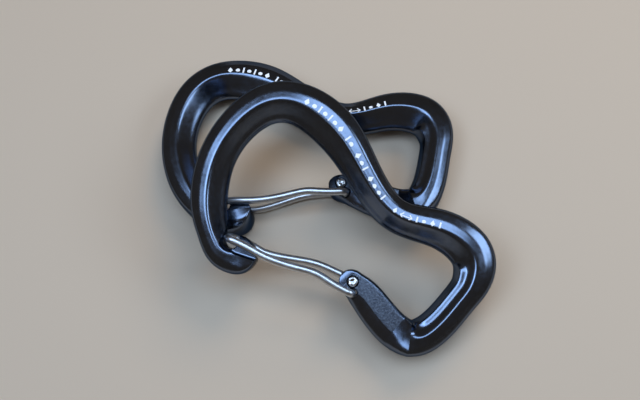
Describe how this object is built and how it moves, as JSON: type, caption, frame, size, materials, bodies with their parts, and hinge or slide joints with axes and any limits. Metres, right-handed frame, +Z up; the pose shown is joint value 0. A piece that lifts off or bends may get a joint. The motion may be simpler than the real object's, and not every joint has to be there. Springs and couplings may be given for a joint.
{
  "type": "wiregate carabiner pair",
  "caption": "Forged aluminium snap hooks with bent-wire spring gates, one lying loosely across the other, for clipping cords, rope or gear.",
  "frame": {"origin": "centre of the bounding box's underside, on the surface the pair lies on", "axes": "+Z up from the surface, +Y away from the viewer along the pair's long direction, +X to the viewer's right"},
  "size_m": [0.0822, 0.0912, 0.0302],
  "materials": {
    "black_anodised_aluminium": "glossy black anodised",
    "polished_stainless_wire": "polished stainless spring wire"
  },
  "bodies": {
    "lower": {"lower_frame": "black_anodised_aluminium", "lower_pivot_end_top": "polished_stainless_wire", "lower_pivot_end_bottom": "polished_stainless_wire"},
    "lower_gate": {"lower_wire_gate": "polished_stainless_wire"},
    "upper": {"upper_frame": "black_anodised_aluminium", "upper_pivot_end_top": "polished_stainless_wire", "upper_pivot_end_bottom": "polished_stainless_wire"},
    "upper_gate": {"upper_wire_gate": "polished_stainless_wire"}
  },
  "joints": [
    {"name": "lower_gate_hinge", "type": "hinge", "parent": "lower", "child": "lower_gate", "pos_m": [0.0067, 0.0009, 0.0053], "axis": [0, 0, -1], "range_deg": [0, 28], "stiffness_Nm_per_rad": 0.12, "springref_deg": -34.38},
    {"name": "upper_lift", "type": "slide", "parent": "lower", "child": "upper", "axis": [0, 0, 1], "range_m": [0, 0.03]},
    {"name": "upper_gate_hinge", "type": "hinge", "parent": "upper", "child": "upper_gate", "pos_m": [0.00454, -0.02636, 0.00986], "axis": [0.0314, 0.3006, -0.9532], "range_deg": [0, 28], "stiffness_Nm_per_rad": 0.12, "springref_deg": -34.38}
  ]
}
